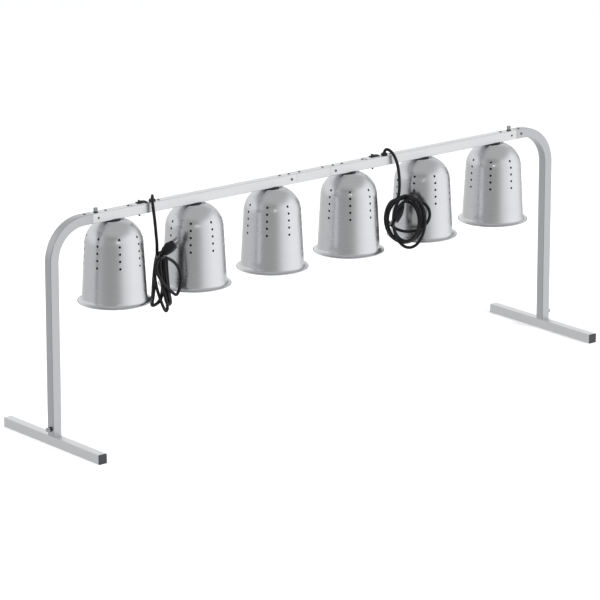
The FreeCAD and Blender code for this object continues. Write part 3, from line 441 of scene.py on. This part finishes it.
def slot_materials():
    """The material of each CAD slot, except the shades and legs, which have one each, and the prongs."""
    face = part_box("heat_bulb_1")[0].z + 0.012
    return {
        "foot_aluminium": drawn_metal("foot_satin", BAR_METAL, streaks_along_y),
        "bar_aluminium": drawn_metal("bar_satin", BAR_METAL, streaks_along_x),
        "machined_aluminium": machined_metal("machined_aluminium", (0.60, 0.605, 0.62), 0.30),
        "nickelled_steel": machined_metal("nickel_plate", (0.56, 0.56, 0.565), 0.24),
        "prong_steel": machined_metal("prong_plate", (0.34, 0.34, 0.345), 0.30),
        "zinc_steel": machined_metal("zinc_plate", (0.52, 0.53, 0.55), 0.33),
        "black_steel": machined_metal("black_oxide", (0.17, 0.17, 0.175), 0.24),
        "black_washer": moulded("washer_fibre", (0.018, 0.018, 0.020), 0.55),
        "plate_steel": machined_metal("plate_satin", (0.70, 0.71, 0.73), 0.22, grain=500.0),
        "switch_black": moulded("switch_housing", (0.014, 0.014, 0.016), 0.34),
        "rocker_black": moulded("rocker_cap", (0.016, 0.016, 0.018), 0.26, grain=2200.0),
        "bushing_black": moulded("bushing_nylon", (0.013, 0.013, 0.014), 0.42),
        "cord_black": cord_jacket(),
        "plug_black": moulded("plug_body", (0.007, 0.007, 0.008), 0.36),
        "cap_grey": moulded("end_cap", (0.045, 0.046, 0.052), 0.50, grain=900.0, depth=0.00008),
        "porcelain": porcelain(),
        "bulb_glass": reflector_glass(face),
        "bulb_brass": machined_metal("base_brass", (0.70, 0.62, 0.40), 0.25),
        "wire_sleeve": woven_sleeve(),
    }


def dress(node, material):
    """Give a CAD node this material alone."""
    shown = NODES[node]
    shown.data.materials.clear()
    shown.data.materials.append(material)


def dress_nodes(materials):
    for part in frame["record"]["subparts"]:
        slot = part["material_slot"]
        if slot in materials:
            dress(part["node"], materials[slot])
    for side_name in ("left", "right"):
        dress(side_name + "_leg_tube", leg_material(side_name))
    for number in range(1, 7):
        spun = spun_metal("spun_shade_%d" % number, SPUN_METAL, shade_middle(number))
        dress("lamp_shade_%d" % number, spun)


# ---- cords -------------------------------------------------------------------------------
def hank_place(x, y, z):
    """A point of the left hank: x holds for the plane Y = HANK_PLANE."""
    return x + (y - HANK_PLANE) * HANK_FAN, y, z


def hank_loop(loop):
    """One long loop from the neck down to its low point and back."""
    points = []
    low_x, low_z = loop["low"]
    for step in range(HANK_POINTS):
        angle = 2.0 * math.pi * (step + 0.5) / HANK_POINTS
        down = (1.0 - math.cos(angle)) / 2.0
        swell = abs(math.sin(angle)) ** loop["power"]
        half = 0 if angle < math.pi else 1
        outward = -1.0 if half == 0 else 1.0
        start = loop["ends"][half]
        bulge = loop["bulge"][half] * swell * (1.0 - loop["seat"][half] * math.cos(angle))
        fold = HANK_FOLD * abs(math.sin(angle)) * max(-math.cos(angle), 0.0) ** 4
        if abs(bulge) < fold:
            bulge = fold
        x = start + (low_x - start) * down + outward * bulge
        z = loop["neck"] - (loop["neck"] - low_z) * down
        points.append(hank_place(x, loop["y"], z))
    return points


def coil_place(across, z, forward):
    """A point in front of the lamp: across to the right, and forward towards the camera's side."""
    x = COIL_LAMP_X + across * math.cos(COIL_FACING) - forward * math.sin(COIL_FACING)
    y = -across * math.sin(COIL_FACING) - forward * math.cos(COIL_FACING)
    return x, y, z


def coil_turns():
    """The right cord's turns, each easing into the next."""
    points = []
    last = len(COIL_TURNS) - 1
    for step in range(round(COIL_END * COIL_POINTS) + 1):
        turns = step / COIL_POINTS
        number = min(int(turns), last)
        share = turns - number
        this, following = COIL_TURNS[number], COIL_TURNS[min(number + 1, last)]
        ease = min(max((share - COIL_BLEND) / (1.0 - COIL_BLEND), 0.0), 1.0)
        ease = ease * ease * (3.0 - 2.0 * ease)
        centre, height, wide, tall, _ = [a + (b - a) * ease for a, b in zip(this, following)]
        forward = this[4] + (following[4] - this[4]) * share
        if number == last:
            forward -= COIL_TUCK * max(0.0, share - 0.45) / 0.45
        angle = COIL_START + 2.0 * math.pi * turns
        up = tall * math.sin(angle)
        across = centre + wide * math.cos(angle)
        points.append(coil_place(across, height + up, forward - COIL_LEAN * up))
    return points


def cord_curve(name, points, material):
    curve = bpy.data.curves.new(name, "CURVE")
    curve.dimensions = "3D"
    spline = curve.splines.new("NURBS")
    spline.points.add(len(points) - 1)
    for point, place in zip(spline.points, points):
        point.co = (*place, 1.0)
    spline.order_u = 3
    spline.use_endpoint_u = True
    spline.resolution_u = 8
    curve.bevel_depth = CORD_DIAMETER / 2
    curve.bevel_resolution = 5
    curve.use_fill_caps = True
    curve.materials.append(material)
    cord = bpy.data.objects.new(name, curve)
    bpy.context.collection.objects.link(cord)
    return cord


# ---- mesh tools --------------------------------------------------------------------------
def mesh_piece(name, build, material, smooth=True):
    """A new object whose mesh is made by build(bmesh)."""
    shape = bmesh.new()
    build(shape)
    bmesh.ops.recalc_face_normals(shape, faces=shape.faces)
    mesh = bpy.data.meshes.new(name)
    shape.to_mesh(mesh)
    shape.free()
    for polygon in mesh.polygons:
        polygon.use_smooth = smooth
    mesh.materials.append(material)
    piece = bpy.data.objects.new(name, mesh)
    bpy.context.collection.objects.link(piece)
    return piece


def skin_rings(shape, rings, closed=False):
    """Faces between rings of points, with both ends capped unless the rings close on themselves."""
    rows = [[shape.verts.new(p) for p in ring] for ring in rings]
    pairs = list(zip(rows, rows[1:]))
    if closed:
        pairs.append((rows[-1], rows[0]))
    for a, b in pairs:
        count = len(a)
        for i in range(count):
            j = (i + 1) % count
            shape.faces.new((a[i], a[j], b[j], b[i]))
    if not closed:
        shape.faces.new(rows[0])
        shape.faces.new(rows[-1])


def bevelled(piece, width, segments=2, angle=35.0):
    bevel = piece.modifiers.new("edges", "BEVEL")
    bevel.width = width
    bevel.segments = segments
    bevel.limit_method = "ANGLE"
    bevel.angle_limit = math.radians(angle)
    return piece


# ---- plugs -------------------------------------------------------------------------------
def plug_matrix(plug):
    turn = Vector(plug["along"]).normalized()
    base = Vector((0, 0, 1)).rotation_difference(turn).to_matrix().to_4x4()
    roll = Matrix.Rotation(math.radians(plug["roll"]), 4, "Z")
    return Matrix.Translation(Vector(plug["at"])) @ base @ roll


def plug_half_sizes(z):
    """Half thickness and half width of the plug's body at a distance from its cord end."""
    stations = [(0.0, 0.0054, 0.0060), (0.006, 0.0064, 0.0085), (0.013, 0.0088, 0.0118),
                (0.022, 0.0104, 0.0134), (0.030, 0.0105, 0.0135), (0.038, 0.0102, 0.0122),
                (PLUG_LENGTH, 0.0094, 0.0106)]
    for (z0, t0, w0), (z1, t1, w1) in zip(stations, stations[1:]):
        if z <= z1:
            share = (z - z0) / (z1 - z0)
            share = share * share * (3.0 - 2.0 * share)
            return t0 + (t1 - t0) * share, w0 + (w1 - w0) * share
    return stations[-1][1:]


def plug_ring(z, place, inset=0.0, power=0.62, count=48):
    """Rounded-square section of the plug's body."""
    thick, wide = plug_half_sizes(z)
    ring = []
    for i in range(count):
        angle = 2.0 * math.pi * i / count
        c, s = math.cos(angle), math.sin(angle)
        x = (thick - inset) * math.copysign(abs(c) ** power, c)
        y = (wide - inset) * math.copysign(abs(s) ** power, s)
        ring.append(place @ Vector((x, y, z)))
    return ring


def plug_inset(z):
    """How far the body's skin lies inside its outline: relief rings, grip ridges, rounded edge."""
    inset = 0.0
    if z < RELIEF_END:
        if math.sin(2.0 * math.pi * PLUG_RIBS * z / RELIEF_END) > 0.0:
            inset = RELIEF_GROOVE
    elif GRIP_START < z < GRIP_END:
        share = (z - GRIP_START) / (GRIP_END - GRIP_START)
        inset = GRIP_GROOVE * (1.0 - math.cos(2.0 * math.pi * PLUG_RIBS * share)) / 2.0
    short = PLUG_EDGE - (PLUG_LENGTH - z)
    if short > 0.0:
        inset += PLUG_EDGE - math.sqrt(max(0.0, PLUG_EDGE ** 2 - short ** 2))
    return inset


def plug_body(name, plug, material):
    """Moulded body: ringed bend relief, ridged grip and a flat face with a rounded edge."""
    place = plug_matrix(plug)
    stations = [PLUG_LENGTH * step / PLUG_STEPS for step in range(PLUG_STEPS + 1)]

    def build(shape):
        skin_rings(shape, [plug_ring(z, place, plug_inset(z)) for z in stations])

    return mesh_piece(name, build, material)


def plug_prongs(name, plug, material):
    """Two flat blades with a hole each and a round earth pin with a domed tip."""
    place = plug_matrix(plug)
    thick, wide, long = BLADE_SIZE
    hole_radius, hole_up, sides = 0.0016, 0.0115, 16

    def blade(shape, y):
        loops = []
        for x in (-thick / 2, thick / 2):
            outline = blade_outline(wide, long)
            hole = []
            for i in range(sides):
                angle = 2.0 * math.pi * i / sides
                hole.append((hole_radius * math.cos(angle), hole_up + hole_radius * math.sin(angle)))
            rims = []
            for line in (outline, hole):
                places = [Vector((BLADE_SHIFT + x, y + u, PLUG_LENGTH + v)) for u, v in line]
                rims.append([shape.verts.new(place @ at) for at in places])
            edges = [shape.edges.new((rim[i], rim[(i + 1) % len(rim)]))
                     for rim in rims for i in range(len(rim))]
            bmesh.ops.triangle_fill(shape, use_beauty=True, edges=edges)
            loops.append(rims)
        for a, b in zip(loops[0], loops[1]):
            for i in range(len(a)):
                j = (i + 1) % len(a)
                shape.faces.new((a[i], a[j], b[j], b[i]))

    def build(shape):
        for sign in (-1.0, 1.0):
            blade(shape, sign * BLADE_SPACING / 2)
        rings = [pin_ring(place, PIN_RADIUS, -PRONG_ROOT)]
        for step in range(int(PIN_TIP_STEPS) + 1):
            angle = math.pi / 2 * step / PIN_TIP_STEPS
            up = PIN_LENGTH - PIN_RADIUS + PIN_RADIUS * math.sin(angle)
            rings.append(pin_ring(place, PIN_RADIUS * math.cos(angle), up))
        skin_rings(shape, rings)

    return bevelled(mesh_piece(name, build, material), 0.0002, 2, 50.0)


def pin_ring(place, radius, up, count=24):
    """Section of the earth pin at a height above the plug's face."""
    ring = []
    for i in range(count):
        angle = 2.0 * math.pi * i / count
        at = (PIN_SHIFT + radius * math.cos(angle), radius * math.sin(angle), PLUG_LENGTH + up)
        ring.append(place @ Vector(at))
    return ring


def blade_outline(wide, long):
    """Blade seen from its flat side: straight, with the far corners rounded."""
    radius, steps = 0.0018, 5
    points = [(-wide / 2, -PRONG_ROOT), (wide / 2, -PRONG_ROOT)]
    for sign, turn in ((1.0, 0.0), (-1.0, 0.5)):
        for step in range(steps + 1):
            angle = math.pi * (turn + 0.5 * step / steps)
            points.append((sign * (wide / 2 - radius) + radius * math.cos(angle),
                           long - radius + radius * math.sin(angle)))
    return points


# ---- twist ties --------------------------------------------------------------------------
TIE_WIDTH = 0.0036
TIE_THICK = 0.0009
TIE_STEPS = 48              # sections in one turn of the tie


def tie_band(name, centre, across, forward, sizes, material, turns=1.0, rise=0.0):
    """Flat tie round a bundle: an oval path with the strip's width along the bundle."""
    bundle = across.cross(forward).normalized()
    count = round(TIE_STEPS * turns)

    def build(shape):
        rings = []
        for i in range(count + 1):
            angle = 2.0 * math.pi * i / TIE_STEPS
            c, s = math.cos(angle), math.sin(angle)
            out = across * (c * sizes[0]) + forward * (s * sizes[1])
            normal = across * (c * sizes[1]) + forward * (s * sizes[0])
            at = centre + out + bundle * (rise * i / count)
            rings.append(strip_section(at, normal.normalized(), bundle))
        skin_rings(shape, rings)

    return mesh_piece(name, build, material)


def strip_section(at, normal, sideways):
    """Section of the tie: a paper strip with a thicker wire core."""
    half, thick = TIE_WIDTH / 2, TIE_THICK / 2
    outline = [(-1.0, 0.35), (-0.35, 0.5), (-0.18, 1.0), (0.18, 1.0), (0.35, 0.5), (1.0, 0.35),
               (1.0, -0.35), (0.35, -0.5), (0.18, -1.0), (-0.18, -1.0), (-0.35, -0.5), (-1.0, -0.35)]
    return [at + sideways * (u * half) + normal * (v * thick) for u, v in outline]


def tie_tail(name, points, material, twists=1.5):
    """Free end of the tie, twisted along its path."""
    places = [Vector(p) for p in points]
    steps = 40

    def build(shape):
        rings = []
        for i in range(steps + 1):
            share = i / steps * (len(places) - 1)
            k = min(int(share), len(places) - 2)
            local = share - k
            at = places[k].lerp(places[k + 1], local)
            tangent = (places[min(k + 2, len(places) - 1)] - places[max(k - 1, 0)]).normalized()
            side = tangent.cross(Vector((0, 0, 1))).normalized()
            side.rotate(Matrix.Rotation(2.0 * math.pi * twists * i / steps, 3, tangent))
            rings.append(strip_section(at, tangent.cross(side), side))
        skin_rings(shape, rings)

    return mesh_piece(name, build, material)


# ---- floor, light and camera ---------------------------------------------------------------
def floor():
    """A plain pale floor, wide enough to fill the picture."""
    def build(shape):
        bmesh.ops.create_grid(shape, x_segments=8, y_segments=8, size=40.0)

    surface = Surface("studio_floor", (0.93, 0.93, 0.93), 0.85, Specular_IOR_Level=0.1)
    patch = surface.noise(surface.vector(*surface.place()), scale=1.5, detail=1.0)
    surface.tint(patch, (0.92, 0.92, 0.92), (0.94, 0.94, 0.94))
    plane = mesh_piece("studio_floor", build, surface.material)
    plane.location.z = -0.0004
    plane.visible_glossy = False


WORLD_TONE = (0.985, 0.99, 1.0, 1.0)
WORLD_BASE = 0.84
SIDE_LOBES = [              # level direction, cosines where it starts and is full, gain, and top
    ((-0.766, -0.643, 0.0), 0.57, 0.98, -0.47, 0.85),
    ((-0.643, 0.766, 0.0), 0.34, 0.906, -0.22, 0.20),
    ((0.819, -0.574, 0.0), 0.643, 0.966, 0.17, 0.85),
    ((0.991, 0.131, 0.0), 0.90, 0.995, -0.15, 0.85),
]
LOBE_FADE = 0.35            # how far below its top a lobe starts to fade
FAR_LOBE = ((0.611, 0.743, 0.272), 0.90, 0.99, 0.14)
CEILING = (0.45, 0.80, -0.34)


def studio_world():
    """Soft studio surroundings: pale all round, with darker and brighter sides and a dim ceiling."""
    world = bpy.data.worlds.new("studio")
    bpy.context.scene.world = world
    world.use_nodes = True
    sky = NodeTree(world.node_tree)
    where = sky.add("ShaderNodeTexCoord").outputs["Generated"]
    x, y, z = sky.parts(where)
    level = sky.add("ShaderNodeVectorMath", operation="NORMALIZE")
    sky.feed(level.inputs[0], sky.vector(x, y, 0.0))
    total = WORLD_BASE
    for direction, low, high, gain, top in SIDE_LOBES:
        lobe = sky.span(sky.dot(level.outputs[0], direction), 0.0, gain, low, high, "SMOOTHSTEP")
        fade = sky.span(z, 1.0, 0.0, top - LOBE_FADE, top, "SMOOTHSTEP")
        total = sky.math("ADD", total, sky.math("MULTIPLY", lobe, fade))
    direction, low, high, gain = FAR_LOBE
    far = sky.span(sky.dot(where, direction), 0.0, gain, low, high, "SMOOTHSTEP")
    total = sky.math("ADD", total, far)
    low, high, gain = CEILING
    total = sky.math("ADD", total, sky.span(z, 0.0, gain, low, high, "SMOOTHSTEP"))
    back = sky.nodes["Background"]
    sky.feed(back.inputs["Strength"], total)
    sky.feed(back.inputs["Color"], WORLD_TONE)


def area_light(name, at, aim, size, watts, reflects=False):
    """A soft light, which shows in reflections only where it is a small one for the glints."""
    light = bpy.data.lights.new(name, "AREA")
    light.shape = "RECTANGLE"
    light.size, light.size_y = size
    light.energy = watts
    lamp = bpy.data.objects.new(name, light)
    lamp.location = at
    lamp.rotation_euler = (Vector(aim) - Vector(at)).to_track_quat("-Z", "Y").to_euler()
    lamp.visible_glossy = reflects
    bpy.context.collection.objects.link(lamp)


def floor_wash(strength):
    """Even light from above without shadows, which keeps the floor white."""
    light = bpy.data.lights.new("floor_wash", "SUN")
    light.energy = strength
    light.use_shadow = False
    lamp = bpy.data.objects.new("floor_wash", light)
    lamp.visible_glossy = False
    bpy.context.collection.objects.link(lamp)


def camera():
    data = bpy.data.cameras.new("camera")
    data.lens = CAMERA_LENS
    data.sensor_width = 36.0
    data.clip_end = 100.0
    look = Vector((math.sin(CAMERA_AZIMUTH) * math.cos(CAMERA_ELEVATION),
                   math.cos(CAMERA_AZIMUTH) * math.cos(CAMERA_ELEVATION),
                   -math.sin(CAMERA_ELEVATION)))
    eye = bpy.data.objects.new("camera", data)
    eye.location = CAMERA_TARGET - look * CAMERA_DISTANCE
    eye.rotation_euler = look.to_track_quat("-Z", "Y").to_euler()
    bpy.context.collection.objects.link(eye)
    bpy.context.scene.camera = eye


# ---- the pieces --------------------------------------------------------------------------
def build_plug(side_name, plug, materials):
    body = plug_body(side_name + "_plug_body", plug, materials["plug_black"])
    prongs = plug_prongs(side_name + "_plug_prongs", plug, materials["prong_steel"])
    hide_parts(side_name + "_plug")
    return [body, prongs]


def left_ties(material):
    """Tie round the neck of the left hank, with one free end beside the plug."""
    centre = Vector(hank_place(-0.5168, -0.043, 0.4495))
    across = Vector((0.772, -0.635, 0.0))
    forward = Vector((0.635, 0.772, 0.0))
    band = tie_band("left_tie_band", centre, across, forward, (0.0135, 0.033), material, 2.0, 0.004)
    steps = [(-0.5404, -0.0606, 0.4580), (-0.5404, -0.0606, 0.4663), (-0.5356, -0.0611, 0.4756),
             (-0.5315, -0.0621, 0.4821), (-0.5248, -0.0647, 0.4901)]
    tail = tie_tail("left_tie_tail", steps, material)
    return [band, tail]


def build_cords(materials):
    left_points = LEFT_ROUTE + [p for loop in HANK_LOOPS for p in hank_loop(loop)]
    left_points += [hank_place(*p) for p in HANK_TAIL]
    left = cord_curve("left_cord_line", left_points, materials["cord_black"])
    right_points = RIGHT_ROUTE + coil_turns() + COIL_TAIL
    right = cord_curve("right_cord_line", right_points, materials["cord_black"])
    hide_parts("left_cord", "left_cord_hank")
    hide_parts("right_cord", "right_cord_coil")
    left_pieces = build_plug("left", LEFT_PLUG, materials) + left_ties(materials["bushing_black"])
    right_pieces = build_plug("right", RIGHT_PLUG, materials)
    for piece in [left, right] + left_pieces + right_pieces:
        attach(piece, "stand")


bpy.context.scene.view_settings.view_transform = "Standard"
materials = slot_materials()
dress_nodes(materials)
build_cords(materials)
floor()
studio_world()
area_light("key", (2.2, -3.2, 3.6), (0.0, 0.0, 0.3), (1.6, 1.6), 160.0)
area_light("fill", (-3.6, 0.8, 3.0), (0.0, 0.0, 0.3), (2.0, 2.0), 60.0)
area_light("glint", (-1.73, -3.02, 1.64), (0.0, 0.0, 0.4), (0.15, 0.15), 1.0, reflects=True)
floor_wash(1.2)
camera()
